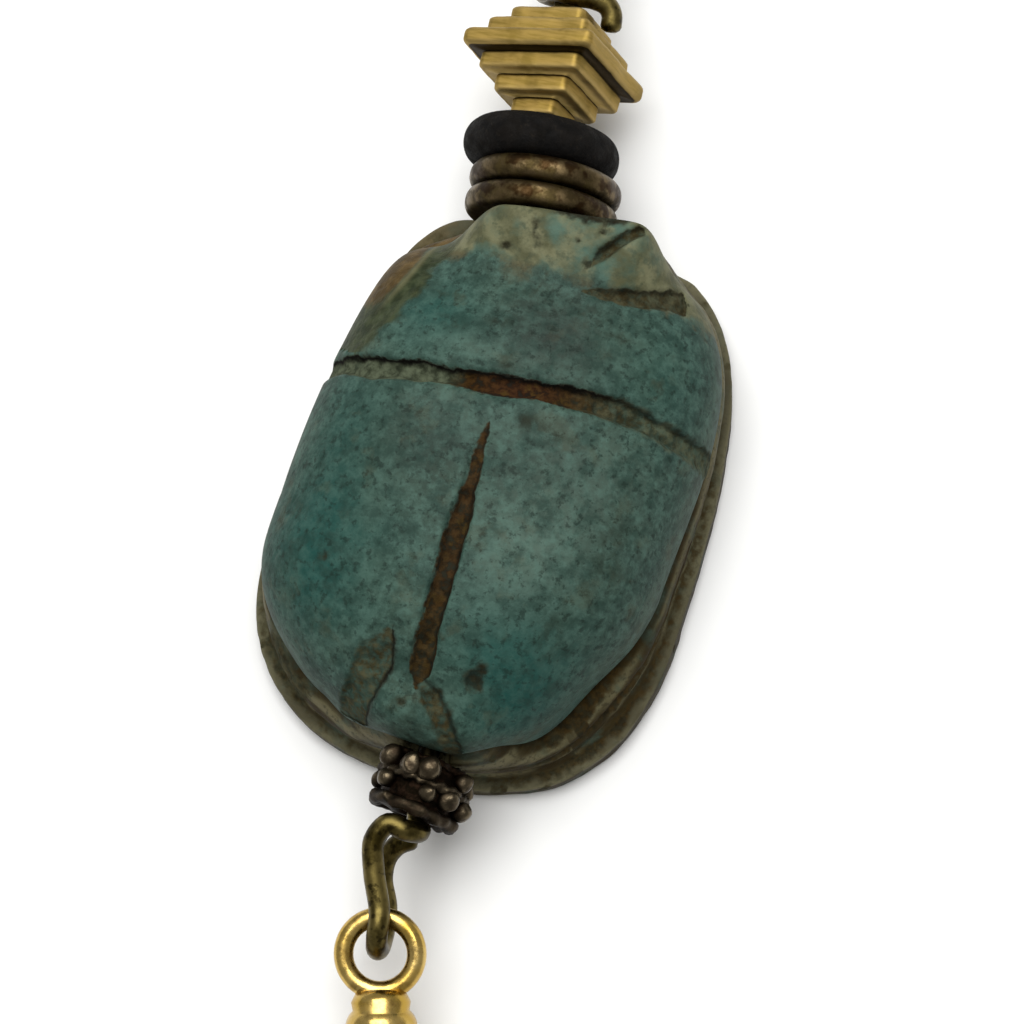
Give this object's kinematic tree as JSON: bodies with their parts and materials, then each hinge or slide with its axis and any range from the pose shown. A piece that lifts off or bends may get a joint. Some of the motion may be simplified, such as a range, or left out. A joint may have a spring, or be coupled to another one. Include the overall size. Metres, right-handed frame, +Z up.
{
  "type": "scarab amulet",
  "caption": "Glazed stone beetle amulet threaded on a brass wire between rings, a disc and a stepped bead, with a small gold drop below.",
  "frame": {"origin": "middle of the beetle's flat underside, where it lies on a table", "axes": "+Z up from the underside, +Y to the beetle's head, +X to its right side seen from above with the head away"},
  "size_m": [0.0162, 0.0541, 0.0086],
  "materials": {
    "glazed_steatite": "worn blue-green glaze on carved soapstone, brown earth in the cuts",
    "antique_bronze": "dark patina, rubbed edges",
    "black_stone": "matt, fine pits",
    "brushed_gold": "matt gold plate, worn edges",
    "olive_brass": "tarnished drawn wire",
    "dark_silver": "blackened, rubbed granules",
    "polished_gold": "polished, fine scratches"
  },
  "bodies": {
    "root": {"scarab": "glazed_steatite", "bronze_ring_lower": "antique_bronze", "bronze_ring_upper": "antique_bronze", "black_disc_bead": "black_stone", "stepped_gold_bead": "brushed_gold", "brass_wire": "olive_brass", "granulated_spacer": "dark_silver", "gold_drop": "polished_gold"}
  },
  "joints": []
}
